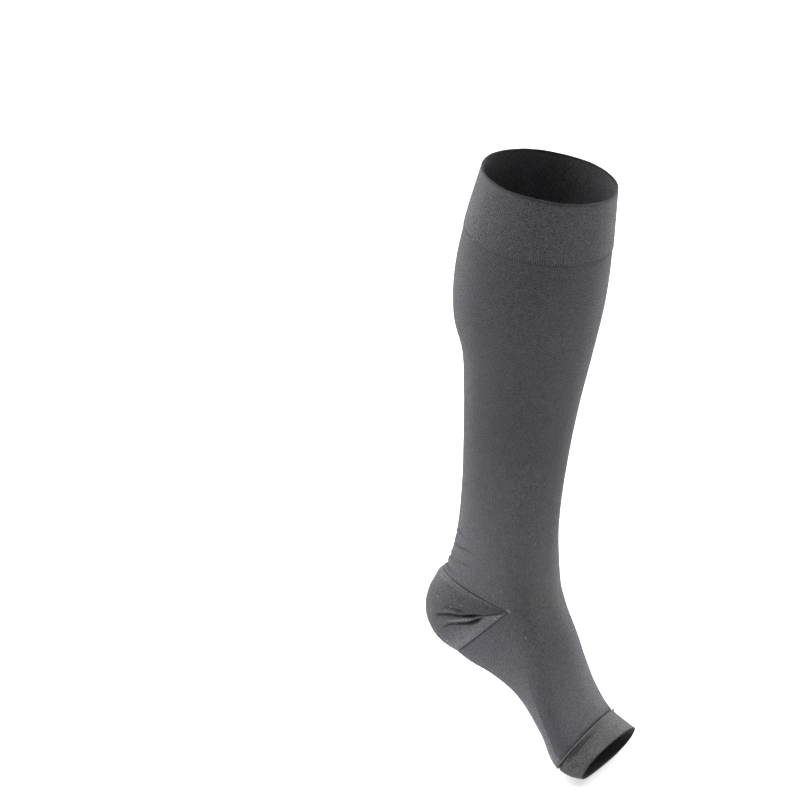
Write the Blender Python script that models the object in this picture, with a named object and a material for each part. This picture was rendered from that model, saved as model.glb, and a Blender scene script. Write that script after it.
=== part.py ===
"""A below-knee compression stocking with an open toe, in the hollow form that it has when worn.

Lengths here are millimetres and angles are degrees; the meshes are in metres. +Z is up, the toes
point along -Y, and +X is the outer side of the leg. The origin is the middle of the top edge.

The stocking is a tube. Each ring round it is two half ellipses that meet at the inner and outer
side of the leg, and each half leans by its own tilt, so that the rings can part at the heel like
the two edges of a wedge. The heel pocket fans out between those edges.
"""

import math
from collections import namedtuple

import bpy
import numpy as np

MM = 0.001

# Cloth
LEG_WALL = 1.2
HEEL_WALL = 1.2
TOE_WALL = 1.5
BAND_WALL = 1.9  # knitted double
BAND_PROUD = 0.5  # how far the doubled band stands out from the leg
SEAM_GAP = 0.3  # between pieces that a seam joins
TIP_SETBACK = 0.9  # of the heel pocket's tips from the ends of the wedge
EDGE = 1.2  # depth over which a free edge is rounded
EDGE_SHARE = 0.4  # of the wall that is left at a free edge

# The tube, by distance down the leg and then along the foot
BAND_DEPTH = 48
HEEL_START = 360
TOE_SEAM = 127
TOE_EDGE = 151
HALF = 18  # faces round each half of a ring
HEEL_ROWS = 18
ARC_SAMPLES = 361

# The ridge over the toe seam
RIDGE_HALF_WIDTH = 1.2
RIDGE_HALF_HEIGHT = 0.6
RIDGE_SIDES = 6

Section = namedtuple(
    "Section",
    "at x y z front_tilt back_tilt front back half_width front_round back_round skew",
)
Turn = namedtuple("Turn", "fall reach roundness")
Fold = namedtuple("Fold", "turn_a at_a turn_b at_b bow width depth")

# at: distance down the leg. x, y, z: middle of the ring. Tilts: how far the front half dips and
# the back half rises. front, back: reach of each half. Rounds: 2 is an ellipse, less is pointed.
LEG = [
    # at   x     y     z  tilts       front  back  width rounds     skew
    (0, 0, 0.0, 0, 10.0, 10.0, 53.0, 53.0, 53.5, 2.0, 2.0, 0),
    (48, 1, 10.5, -48, 8.5, 8.5, 60.0, 57.0, 58.0, 2.0, 2.0, 0),
    (85, 3, 16.0, -85, 8.0, 8.0, 61.0, 60.0, 59.5, 2.0, 2.0, 0),
    (110, 4, 18.5, -110, 7.5, 7.5, 59.0, 60.0, 57.5, 2.0, 2.0, 0),
    (130, 4, 19.5, -130, 7.0, 7.0, 56.0, 58.0, 53.5, 2.0, 2.0, 0),
    (150, 4, 20.3, -150, 7.0, 7.0, 52.5, 51.0, 49.5, 2.0, 2.0, 0),
    (186, 4, 23.4, -186, 6.0, 6.0, 48.0, 46.5, 42.5, 2.0, 2.0, 0),
    (230, 3, 26.9, -230, 5.0, 5.0, 44.5, 43.5, 35.0, 2.0, 2.0, 0),
    (270, 1, 29.0, -270, 4.0, 4.5, 42.5, 42.5, 29.5, 2.0, 1.9, 0),
    (300, 0, 28.0, -300, 2.0, 5.5, 40.0, 46.0, 29.5, 2.0, 1.75, 0),
    (325, 0, 23.0, -325, -3.0, 7.0, 35.0, 55.0, 32.0, 2.0, 1.65, 0),
    (345, 0, 18.0, -345, -10.0, 8.5, 31.0, 65.0, 33.0, 2.0, 1.6, 0),
    (360, 0, 14.5, -360, -18.0, 9.0, 29.5, 75.0, 33.0, 2.0, 1.6, 0),
]
# at: distance along the foot. skew: how far the outer side leads the inner one.
FOOT = [
    # at   x     y     z  tilts       front  back  width rounds     skew
    (0, 0, 14.5, -360.0, -18.0, -46.0, 29.5, 82.0, 33.0, 2.0, 2.5, 0),
    (22, 0, 7.0, -380.0, -24.0, -41.0, 28.5, 69.0, 33.5, 2.0, 2.4, 0),
    (45, -1, -2.5, -403.0, -28.0, -36.0, 29.0, 48.0, 35.5, 2.0, 2.2, 0),
    (75, -2, -14.0, -429.0, -36.0, -36.0, 25.5, 26.5, 40.0, 2.1, 2.1, 0),
    (100, -3, -27.0, -452.0, -46.0, -46.0, 21.0, 18.5, 43.0, 2.2, 2.3, 0),
    (127, -4, -43.0, -475.5, -58.0, -58.0, 23.0, 20.0, 44.0, 2.3, 2.5, 2),
    (138, -4, -53.0, -480.5, -63.0, -63.0, 21.5, 19.0, 44.0, 2.3, 2.5, 3),
    (151, -5, -65.0, -483.0, -68.0, -68.0, 17.0, 14.0, 43.5, 2.3, 2.5, 5),
]
# The heel pocket's rows turn about the line between the wedge's ends. fall: 0 at the upper seam,
# 1 at the lower one.
HEEL = [
    # fall  reach  roundness
    (0.0, 75.0, 1.6),
    (0.25, 86.0, 2.1),
    (0.5, 92.0, 2.5),
    (0.75, 90.5, 2.6),
    (1.0, 82.0, 2.5),
]

# (first, last, rows) stretches of the leg and foot
LEG_STRETCHES = [
    (0, EDGE, 1),
    (EDGE, BAND_DEPTH, 6),
    (BAND_DEPTH, 130, 8),
    (130, 160, 5),
    (160, 300, 10),
    (300, HEEL_START, 11),
]
FOOT_STRETCHES = [
    (0, TOE_SEAM, 15),
    (TOE_SEAM, TOE_EDGE - EDGE, 4),
    (TOE_EDGE - EDGE, TOE_EDGE, 1),
]

# Folds: a trough from one place to another, or a ridge where depth is negative. On the heel, turn
# runs from 0 at the inner tip to 1 at the outer one, and at is the fall. On the leg, turn is 1 at
# the outer side, 1.5 at the back and 2 at the inner side. bow bends the fold at its middle.
HEEL_FOLDS = [
    # turn_a at_a turn_b at_b  bow  width depth
    (0.07, 0.59, 0.36, 0.49, 0.00, 2.8, 3.0),
    (0.10, 0.50, 0.34, 0.42, 0.00, 3.0, -1.2),
    (0.12, 0.66, 0.33, 0.64, 0.02, 2.6, 2.2),
    (0.20, 0.44, 0.32, 0.36, 0.00, 2.4, 1.0),
    (0.93, 0.57, 0.67, 0.50, 0.02, 2.8, 2.6),
    (0.89, 0.48, 0.70, 0.41, 0.00, 3.0, -1.0),
    (0.87, 0.67, 0.71, 0.66, -0.01, 2.4, 1.7),
]
LEG_FOLDS = [
    # turn_a at_a turn_b at_b  bow  width depth
    (1.50, 331, 1.90, 319, 4, 3.2, 1.6),
    (1.46, 341, 1.80, 333, 3, 3.0, 1.0),
    (1.50, 318, 1.72, 312, 2, 3.0, 0.8),
    (1.52, 328, 1.16, 317, 4, 3.2, 1.3),
    (1.48, 346, 1.24, 338, 2, 3.0, 0.9),
]


def smooth(at, knots, values):
    """Rows of values at distances, on curves through the rows at the knots."""
    knots, values = np.asarray(knots, float), np.asarray(values, float)
    slopes = np.gradient(values, knots, axis=0)
    at = np.asarray(at, float)
    low = np.clip(np.searchsorted(knots, at, side="right") - 1, 0, len(knots) - 2)
    span = (knots[low + 1] - knots[low])[:, None]
    t = (at - knots[low])[:, None] / span
    start, end = values[low], values[low + 1]
    leave, arrive = slopes[low] * span, slopes[low + 1] * span
    return (
        (2 * t**3 - 3 * t**2 + 1) * start
        + (t**3 - 2 * t**2 + t) * leave
        + (3 * t**2 - 2 * t**3) * end
        + (t**3 - t**2) * arrive
    )


def sections(table, distances):
    """The sections of the leg or foot at distances along it."""
    rows = np.array(table, float)
    return [Section(*row) for row in smooth(distances, rows[:, 0], rows)]


def half_ring(middle, half_width, reach, tilt, roundness, facing, fractions):
    """Points from the inner side of the leg to the outer, over its front (-1) or back (1).

    fractions are shares of the way along the cloth, so that stitches are spaced evenly.
    """
    sweep = np.linspace(0, math.pi, ARC_SAMPLES)
    power = 2 / roundness
    across = -np.sign(np.cos(sweep)) * np.abs(np.cos(sweep)) ** power * half_width
    out = np.abs(np.sin(sweep)) ** power * reach * facing
    lean = math.radians(tilt)
    arc = np.column_stack((across, out * math.cos(lean), out * math.sin(lean))) + middle
    steps = np.linalg.norm(np.diff(arc, axis=0), axis=1)
    length = np.concatenate(([0], np.cumsum(steps)))
    places = np.asarray(fractions) * length[-1]
    return np.column_stack([np.interp(places, length, arc[:, k]) for k in range(3)])


def ring(section, turns):
    """Points of a ring: turn 0 is the inner side, 0.5 the front, 1 the outer side, 1.5 the back."""
    turns = np.asarray(turns, float)
    middle = (section.x, section.y, section.z)
    front = half_ring(
        middle, section.half_width, section.front, section.front_tilt,
        section.front_round, -1, np.clip(turns, 0, 1),
    )  # fmt: skip
    back = half_ring(
        middle, section.half_width, section.back, section.back_tilt,
        section.back_round, 1, np.clip(2 - turns, 0, 1),
    )  # fmt: skip
    points = np.where(turns[:, None] <= 1, front, back)
    pitch = math.radians(90 + (section.front_tilt + section.back_tilt) / 2)
    along = np.array((0, -math.cos(pitch), -math.sin(pitch)))
    lead = (points[:, :1] - section.x) * math.tan(math.radians(section.skew))
    return points + lead * along


def heel_row(fall, turns):
    """Points of the heel pocket's row at a fall, from its inner tip to its outer one."""
    upper, lower = Section(*LEG[-1]), Section(*FOOT[0])
    rows = np.array(HEEL, float)
    row = Turn(*smooth([fall], rows[:, 0], rows)[0])
    tilt = upper.back_tilt + (lower.back_tilt - upper.back_tilt) * fall
    middle = (upper.x, upper.y, upper.z)
    return half_ring(middle, upper.half_width, row.reach, tilt, row.roundness, 1, turns)


def stops(stretches):
    """Distances of the rows in (first, last, rows) stretches."""
    starts = [np.linspace(first, last, rows + 1)[:-1] for first, last, rows in stretches]
    return np.concatenate(starts + [[stretches[-1][1]]])


def leg_place(turn, at):
    return ring(sections(LEG, [at])[0], [turn])[0]


def heel_place(turn, fall):
    return heel_row(fall, [turn])[0]


def fold_relief(points, folds, place):
    """How far the folds move each point in or out along the cloth's normal."""
    relief = np.zeros(len(points))
    for fold in (Fold(*row) for row in folds):
        shares = np.linspace(0, 1, 13)
        turns = fold.turn_a + (fold.turn_b - fold.turn_a) * shares
        ats = fold.at_a + (fold.at_b - fold.at_a) * shares + 4 * fold.bow * shares * (1 - shares)
        line = np.array([place(turn, at) for turn, at in zip(turns, ats)])
        away = np.linalg.norm(points[:, None] - line[None], axis=2)
        nearest = shares[away.argmin(axis=1)]
        fade = np.sin(math.pi * nearest) ** 0.7
        relief -= fold.depth * fade * np.exp(-((away.min(axis=1) / fold.width) ** 2))
    return relief


def loft(grid, closed, backwards=False):
    """Faces between the rows of a grid of point numbers, without the sides that have no length."""
    columns = grid.shape[1]
    faces = []
    for upper, lower in zip(grid[:-1], grid[1:]):
        for here in range(columns if closed else columns - 1):
            there = (here + 1) % columns
            corners = [upper[here], lower[here], lower[there], upper[there]]
            if backwards:
                corners.reverse()
            face = [c for n, c in enumerate(corners) if c != corners[n - 1]]
            faces.append(face)
    return faces


def face_normals(points, faces):
    """Each face's normal, as long as its area."""
    normals = []
    for face in faces:
        ring_points = points[face]
        following = np.roll(ring_points, -1, axis=0)
        normals.append(np.cross(ring_points, following).sum(axis=0) / 2)
    return np.array(normals)


def point_normals(points, faces):
    """Unit normals at the points, from the faces round each of them."""
    total = np.zeros_like(points)
    for face, normal in zip(faces, face_normals(points, faces)):
        total[face] += normal
    length = np.linalg.norm(total, axis=1, keepdims=True)
    return total / np.where(length > 0, length, 1)


class Form:
    """The stocking's outer face: one set of points, and a grid of their numbers for each part."""

    def __init__(self):
        turns = np.arange(2 * HALF) / HALF
        leg = np.array([ring(s, turns) for s in sections(LEG, stops(LEG_STRETCHES))])
        foot = np.array([ring(s, turns) for s in sections(FOOT, stops(FOOT_STRETCHES))])
        falls = np.linspace(0, 1, HEEL_ROWS + 1)
        heel = np.array([heel_row(fall, np.arange(HALF + 1) / HALF) for fall in falls])
        blocks = (leg, foot, heel)
        self.points = np.concatenate([block.reshape(-1, 3) for block in blocks])
        first = np.cumsum([0] + [block.shape[0] * block.shape[1] for block in blocks])
        grids = [n + np.arange(b.shape[0] * b.shape[1]) for n, b in zip(first, blocks)]
        self.leg, self.foot, self.heel = (g.reshape(b.shape[:2]) for g, b in zip(grids, blocks))
        self.join_at_heel()
        self.faces = (
            loft(self.leg, True) + loft(self.foot, True) + loft(self.heel, False, backwards=True)
        )
        self.add_folds()
        self.normals = point_normals(self.points, self.faces)

    def join_at_heel(self):
        """Leg and foot share the front of a ring, and the heel pocket shares both their backs."""
        over_back = np.append(0, np.arange(2 * HALF - 1, HALF - 1, -1))
        self.foot[0, : HALF + 1] = self.leg[-1, : HALF + 1]
        self.heel[0] = self.leg[-1, over_back]
        self.heel[-1] = self.foot[0, over_back]
        self.heel[:, 0], self.heel[:, -1] = self.leg[-1, 0], self.leg[-1, HALF]

    def add_folds(self):
        normals = point_normals(self.points, self.faces)
        relief = np.zeros(len(self.points))
        inside = self.heel[1:-1, 1:-1].ravel()
        relief[inside] = fold_relief(self.points[inside], HEEL_FOLDS, heel_place)
        lower_leg = self.leg[len(self.leg) // 2 : -1].ravel()
        relief[lower_leg] = fold_relief(self.points[lower_leg], LEG_FOLDS, leg_place)
        self.points = self.points + normals * relief[:, None]


def free_sides(faces):
    """Sides of faces that no other face shares, as (from, to) in the faces' own order."""
    sides = {(face[n - 1], face[n]) for face in faces for n in range(len(face))}
    return [(a, b) for a, b in sides if (b, a) not in sides]


def draw_in(points, faces):
    """Moves a piece's free edges into it by half the seam gap."""
    edge = {n for side in free_sides(faces) for n in side}
    inward = {n: [] for n in edge}
    for face in faces:
        for n, point in enumerate(face):
            for other in (face[n - 1], face[(n + 1) % len(face)]):
                if point in edge and other not in edge:
                    inward[point].append(points[other])
    moved = points.copy()
    for point, others in inward.items():
        if others:
            way = np.mean(others, axis=0) - points[point]
            moved[point] += way / np.linalg.norm(way) * SEAM_GAP / 2
    return moved


def cloth_wall(name, form, faces, wall, material, proud=0.0, thin_edge=(), tips=()):
    """A solid wall of cloth: the form's faces, the same faces set in by the wall, and its edges."""
    points = draw_in(form.points, faces)
    for tip, target in tips:
        way = points[target] - form.points[tip]
        points[tip] = form.points[tip] + way / np.linalg.norm(way) * TIP_SETBACK
    walls = np.full(len(points), float(wall))
    lifts = np.full(len(points), float(proud))
    for n in thin_edge:
        lifts[n] -= wall * (1 - EDGE_SHARE) / 2
        walls[n] *= EDGE_SHARE
    outer = points + form.normals * lifts[:, None]
    inner = outer - form.normals * walls[:, None]
    used = sorted({n for face in faces for n in face})
    number = {n: k for k, n in enumerate(used)}
    count = len(used)
    solid = [[number[n] for n in face] for face in faces]
    solid += [[number[n] + count for n in reversed(face)] for face in faces]
    for a, b in free_sides(faces):
        solid.append([number[b], number[a], number[a] + count, number[b] + count])
    return add_object(name, np.concatenate((outer[used], inner[used])), solid, material)


def seam_ridge(name, form, row, material):
    """The raised seam: a flat rope round the tube, over the gap between the foot and its band."""
    middle = form.points[form.foot[row]]
    normal = form.normals[form.foot[row]]
    along = form.points[form.foot[row + 1]] - form.points[form.foot[row - 1]]
    along /= np.linalg.norm(along, axis=1, keepdims=True)
    height = SEAM_GAP + RIDGE_HALF_HEIGHT
    loops = []
    for angle in np.arange(RIDGE_SIDES) * 2 * math.pi / RIDGE_SIDES:
        rise = height + RIDGE_HALF_HEIGHT * math.sin(angle)
        loops.append(middle + normal * rise + along * RIDGE_HALF_WIDTH * math.cos(angle))
    points = np.concatenate(loops)
    grid = np.arange(len(points)).reshape(RIDGE_SIDES, -1)
    faces = loft(np.vstack((grid, grid[:1])), True, backwards=True)
    return add_object(name, points, faces, material)


def cloth_material(name, colour, roughness):
    material = bpy.data.materials.new(name)
    material.use_nodes = True
    shader = material.node_tree.nodes["Principled BSDF"]
    shader.inputs["Base Color"].default_value = (*colour, 1.0)
    shader.inputs["Roughness"].default_value = roughness
    shader.inputs["Metallic"].default_value = 0.0
    return material


def add_object(name, points, faces, material):
    mesh = bpy.data.meshes.new(name)
    mesh.from_pydata((points * MM).tolist(), [], [[int(n) for n in face] for face in faces])
    mesh.materials.append(material)
    mesh.validate()
    mesh.shade_smooth()
    thing = bpy.data.objects.new(name, mesh)
    bpy.context.scene.collection.objects.link(thing)
    return thing


def top_band(form):
    """The doubled welt that holds the stocking up."""
    last = int(np.searchsorted(stops(LEG_STRETCHES), BAND_DEPTH))
    knit = cloth_material("band_knit", (0.062, 0.063, 0.070), 0.85)
    faces = loft(form.leg[: last + 1], True)
    return cloth_wall(
        "top_band", form, faces, BAND_WALL, knit, proud=BAND_PROUD, thin_edge=form.leg[0]
    )


def leg_foot(form):
    """The seamless tube from under the band to the toe seam, with its wedge open at the heel."""
    first = int(np.searchsorted(stops(LEG_STRETCHES), BAND_DEPTH))
    last = int(np.searchsorted(stops(FOOT_STRETCHES), TOE_SEAM))
    knit = cloth_material("leg_knit", (0.075, 0.074, 0.083), 0.85)
    faces = loft(form.leg[first:], True) + loft(form.foot[: last + 1], True)
    return cloth_wall("leg_foot", form, faces, LEG_WALL, knit)


def heel_pocket(form):
    """The pouch that turns the tube round the heel."""
    knit = cloth_material("heel_knit", (0.095, 0.094, 0.103), 0.85)
    faces = loft(form.heel, False, backwards=True)
    middle = HEEL_ROWS // 2
    tips = [
        (form.heel[0, 0], form.heel[middle, 1]),
        (form.heel[0, -1], form.heel[middle, -2]),
    ]
    return cloth_wall("heel_pocket", form, faces, HEEL_WALL, knit, tips=tips)


def toe_band(form):
    """The plain band round the toe opening."""
    first = int(np.searchsorted(stops(FOOT_STRETCHES), TOE_SEAM))
    knit = cloth_material("toe_knit", (0.090, 0.091, 0.093), 0.85)
    faces = loft(form.foot[first:], True)
    return cloth_wall("toe_band", form, faces, TOE_WALL, knit, thin_edge=form.foot[-1])


def toe_seam(form):
    """The ridge of the seam that joins the toe band to the foot."""
    row = int(np.searchsorted(stops(FOOT_STRETCHES), TOE_SEAM))
    thread = cloth_material("seam_thread", (0.080, 0.080, 0.086), 0.8)
    return seam_ridge("toe_seam", form, row, thread)


def main():
    for thing in list(bpy.data.objects):
        bpy.data.objects.remove(thing)
    form = Form()
    for make in (top_band, leg_foot, heel_pocket, toe_band, toe_seam):
        make(form)


main()
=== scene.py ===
"""The looks of a worn compression stocking: its knit, creases, seams and lint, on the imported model.

Tables hold millimetres and degrees, and the meshes are in metres. +Z is up, the toes point along
-Y, and the inner side of the leg, which faces the camera, is -X. The origin is the middle of the
top edge.
The stocking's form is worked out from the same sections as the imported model's.
"""

import math
from collections import namedtuple

import bpy
import numpy as np
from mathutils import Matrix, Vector, noise
from mathutils.kdtree import KDTree


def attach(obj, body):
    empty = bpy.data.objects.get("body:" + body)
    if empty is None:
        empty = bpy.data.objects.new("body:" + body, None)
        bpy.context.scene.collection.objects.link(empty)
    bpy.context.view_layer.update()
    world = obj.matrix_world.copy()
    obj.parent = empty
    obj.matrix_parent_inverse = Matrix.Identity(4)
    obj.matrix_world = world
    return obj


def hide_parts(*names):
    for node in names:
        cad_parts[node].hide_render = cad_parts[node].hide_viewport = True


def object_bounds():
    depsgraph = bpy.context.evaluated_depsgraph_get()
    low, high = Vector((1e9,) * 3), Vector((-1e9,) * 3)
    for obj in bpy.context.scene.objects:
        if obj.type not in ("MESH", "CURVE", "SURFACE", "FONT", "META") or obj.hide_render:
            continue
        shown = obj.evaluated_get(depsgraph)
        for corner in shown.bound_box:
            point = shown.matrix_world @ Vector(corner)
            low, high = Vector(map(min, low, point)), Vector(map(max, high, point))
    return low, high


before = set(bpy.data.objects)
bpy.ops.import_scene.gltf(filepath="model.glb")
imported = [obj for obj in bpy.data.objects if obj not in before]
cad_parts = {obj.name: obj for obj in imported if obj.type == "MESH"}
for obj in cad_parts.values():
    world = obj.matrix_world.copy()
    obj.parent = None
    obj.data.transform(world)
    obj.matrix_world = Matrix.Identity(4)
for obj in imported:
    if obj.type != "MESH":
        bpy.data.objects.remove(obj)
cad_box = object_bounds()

MM = 0.001

# Camera: the photograph is 800 x 800, and shows the middle of the top edge at this pixel
IMAGE = 800
ORIGIN_PIXEL = (550, 176)
AZIMUTH, ELEVATION = -63, 22
DISTANCE = 2.3
LENS, SENSOR = 135, 36

# Cloth, in mm
WALES = 304  # columns of stitches round the tube
COURSE = 0.62  # height of a row of stitches
COURSES_MEET = 0.55  # the heel's fall where its upper and lower courses do
LEG_WALL, HEEL_WALL, TOE_WALL, BAND_WALL = 0.9, 0.9, 1.1, 1.8
BAND_PROUD = 0.5
EDGE_LEFT = 0.1  # share of the wall that is left at an edge
SEAM_LIFT = 0.35  # how far the leg and foot rise beside the heel pocket
SEAM_REACH = 2.4
SWELL = 0.12  # slow unevenness of the stretched cloth
SWELL_SIZE = 24
RIM_WAVES = ((0.30, 3, 0.8), (0.14, 7, 0.0), (0.05, 19, 1.7))  # height, how many go round, phase
RIM_WAVE_DEPTH, RIM_WAVE_END = 8, 20

# The tube, by distance down the leg and then along the foot
BAND_DEPTH = 48
HEEL_START = 360
TOE_SEAM = 127
TOE_EDGE = 151
HALF = 100  # faces round each half of a ring
TURNS = np.arange(2 * HALF) / HALF
HEEL_TURNS = np.arange(HALF + 1) / HALF
ARC_SAMPLES = 361

Section = namedtuple(
    "Section",
    "at x y z front_tilt back_tilt front back half_width front_round back_round skew",
)
Crease = namedtuple("Crease", "width lip path")

# Rows of Section
LEG = [
    (0, 0, 0, 0, 10, 10, 53, 53, 53.5, 2, 2, 0),
    (48, 1, 10.5, -48, 8.5, 8.5, 60, 57, 58, 2, 2, 0),
    (85, 3, 16, -85, 8, 8, 61, 60, 59.5, 2, 2, 0),
    (110, 4, 18.5, -110, 7.5, 7.5, 59, 60, 57.5, 2, 2, 0),
    (130, 4, 19.5, -130, 7, 7, 56, 58, 53.5, 2, 2, 0),
    (150, 4, 20.3, -150, 7, 7, 52.5, 51, 49.5, 2, 2, 0),
    (186, 4, 23.4, -186, 6, 6, 48, 46.5, 42.5, 2, 2, 0),
    (230, 3, 26.9, -230, 5, 5, 44.5, 43.5, 35, 2, 2, 0),
    (270, 1, 29, -270, 4, 4.5, 42.5, 42.5, 29.5, 2, 1.9, 0),
    (300, 0, 28, -300, 2, 5.5, 40, 46, 29.5, 2, 1.75, 0),
    (325, 0, 23, -325, -3, 7, 35, 55, 32, 2, 1.65, 0),
    (345, 0, 18, -345, -10, 8.5, 31, 65, 33, 2, 1.6, 0),
    (360, 0, 14.5, -360, -18, 9, 29.5, 75, 33, 2, 1.6, 0),
]
FOOT = [
    (0, 0, 14.5, -360, -18, -46, 29.5, 82, 33, 2, 2.5, 0),
    (22, 0, 7, -380, -24, -41, 28.5, 69, 33.5, 2, 2.4, 0),
    (45, -1, -2.5, -403, -28, -36, 29, 48, 35.5, 2, 2.2, 0),
    (75, -2, -14, -429, -36, -36, 25.5, 26.5, 40, 2.1, 2.1, 0),
    (100, -3, -27, -452, -46, -46, 21, 18.5, 43, 2.2, 2.3, 0),
    (127, -4, -43, -475.5, -58, -58, 23, 20, 44, 2.3, 2.5, 2),
    (138, -4, -53, -480.5, -63, -63, 21.5, 19, 44, 2.3, 2.5, 3),
    (151, -5, -65, -483, -68, -68, 17, 14, 43.5, 2.3, 2.5, 5),
]
# fall, reach, roundness
HEEL = [(0, 75, 1.6), (0.25, 86, 2.1), (0.5, 92, 2.5), (0.75, 90.5, 2.6), (1, 82, 2.5)]

# Rows of the leg, foot and heel, closer together at edges and creases, as (end, rows) of stretches
LEG_ROWS = [
    (0.9, 5), (47, 30), (BAND_DEPTH, 5), (48.6, 4), (130, 28), (160, 14), (300, 46), (359.4, 50),
    (HEEL_START, 4),
]
FOOT_ROWS = [
    (0.6, 4), (124.5, 50), (126.4, 5), (TOE_SEAM, 4), (127.6, 4), (129.5, 5), (134, 7), (150.4, 11),
    (TOE_EDGE, 4),
]
HEEL_ROWS = [(0.01, 4), (0.3, 28), (0.72, 70), (0.99, 24), (1, 4)]

# Creases: how wide the trough is, how high its upper lip stands, and the line that it follows as
# (turn, at, depth), with a ridge where depth is negative. On the heel, turn runs from 0 at the
# inner tip to 1 at the outer one, and at is the fall from the upper seam (0) to the lower one (1).
HEEL_CREASES = [
    Crease(1.55, 0.2, [
        (0.35, 0.485, 0), (0.33, 0.48, 1.4), (0.29, 0.462, 1.7), (0.25, 0.47, 1.4),
        (0.225, 0.493, 1.6), (0.2, 0.51, 2.8), (0.18, 0.52, 4.6), (0.16, 0.53, 5),
        (0.14, 0.525, 2.4), (0.12, 0.53, 0.7),
    ]),
    Crease(1, 0, [
        (0.34, 0.455, 0), (0.31, 0.43, -0.7), (0.27, 0.425, -0.9), (0.24, 0.435, -0.9),
        (0.21, 0.455, 0),
    ]),
    Crease(1.6, 0.2, [
        (0.335, 0.645, 0), (0.31, 0.632, 1.1), (0.28, 0.612, 1.6), (0.24, 0.62, 1.7),
        (0.21, 0.648, 2.2), (0.185, 0.668, 3.4), (0.165, 0.668, 4.6), (0.145, 0.65, 4.2),
        (0.125, 0.62, 1.8), (0.1, 0.6, 0),
    ]),
    Crease(0.9, 0, [
        (0.29, 0.555, 0), (0.27, 0.56, -0.9), (0.24, 0.57, -1.3), (0.2, 0.58, -1.3),
        (0.17, 0.58, -1.2), (0.15, 0.57, -1.1), (0.125, 0.55, -0.7), (0.1, 0.55, 0),
    ]),
    Crease(1, 0.2, [
        (0.31, 0.355, 0), (0.28, 0.358, 0.5), (0.25, 0.37, 0.8), (0.225, 0.388, 1.1),
        (0.208, 0.408, 1.3), (0.198, 0.42, 0),
    ]),
    Crease(1.25, 0.3, [
        (0.64, 0.5, 0), (0.68, 0.485, 1.5), (0.73, 0.48, 2.1), (0.78, 0.5, 3.2), (0.82, 0.535, 4.4),
        (0.85, 0.55, 1.8), (0.88, 0.56, 0.5),
    ]),
    Crease(1.2, 0.2, [
        (0.69, 0.655, 0), (0.73, 0.645, 1.4), (0.77, 0.655, 2.6), (0.81, 0.675, 3.8),
        (0.86, 0.64, 0),
    ]),
    Crease(0.9, 0, [
        (0.73, 0.565, 0), (0.77, 0.57, -0.9), (0.81, 0.6, -1.3), (0.85, 0.595, -0.8), (0.88, 0.6, 0),
    ]),
    Crease(1.1, 0.2, [(0.71, 0.4, 0), (0.75, 0.395, 1.1), (0.78, 0.41, 1.2), (0.8, 0.43, 0)]),
]
# The pocket stands out round the back at its upper seam, and the leg's cloth with it
HEEL_BULGE = Crease(4.6, 0, [
    (0.2, 0.05, 0), (0.32, 0.05, -0.8), (0.42, 0.055, -1.2), (0.5, 0.055, -1.3), (0.58, 0.055, -1.2),
    (0.68, 0.05, -0.8), (0.8, 0.05, 0),
])
# Grooves along the pocket's upper and lower seams
HEEL_SEAMS = [
    Crease(0.65, 0, [
        (0.01, 0, 0.1), (0.08, 0, 0.3), (0.17, 0, 1), (0.3, 0, 0.9), (0.35, 0, 0.3),
        (0.5, 0, 0.1), (0.65, 0, 0.3), (0.7, 0, 0.9), (0.83, 0, 1), (0.92, 0, 0.3), (0.99, 0, 0.1),
    ]),
    Crease(0.65, 0, [
        (0.01, 1, 0.2), (0.07, 1, 0.9), (0.2, 1, 1.3), (0.33, 1, 0.8), (0.5, 1, 0.3),
        (0.67, 1, 0.8), (0.8, 1, 1.3), (0.93, 1, 0.9), (0.99, 1, 0.2),
    ]),
]
# The suture, where the heel pocket's upper and lower rows of stitches meet
SUTURES = [
    Crease(0.6, 0, [
        (0.14, 0.525, 0.8), (0.09, 0.56, 1.1), (0.06, 0.59, 1.1), (0.03, 0.64, 0.9),
        (0.01, 0.74, 0.4),
    ]),
    Crease(0.6, 0, [
        (0.86, 0.545, 0.8), (0.91, 0.57, 1.1), (0.94, 0.59, 1.1), (0.97, 0.64, 0.9),
        (0.99, 0.74, 0.4),
    ]),
]
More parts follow.
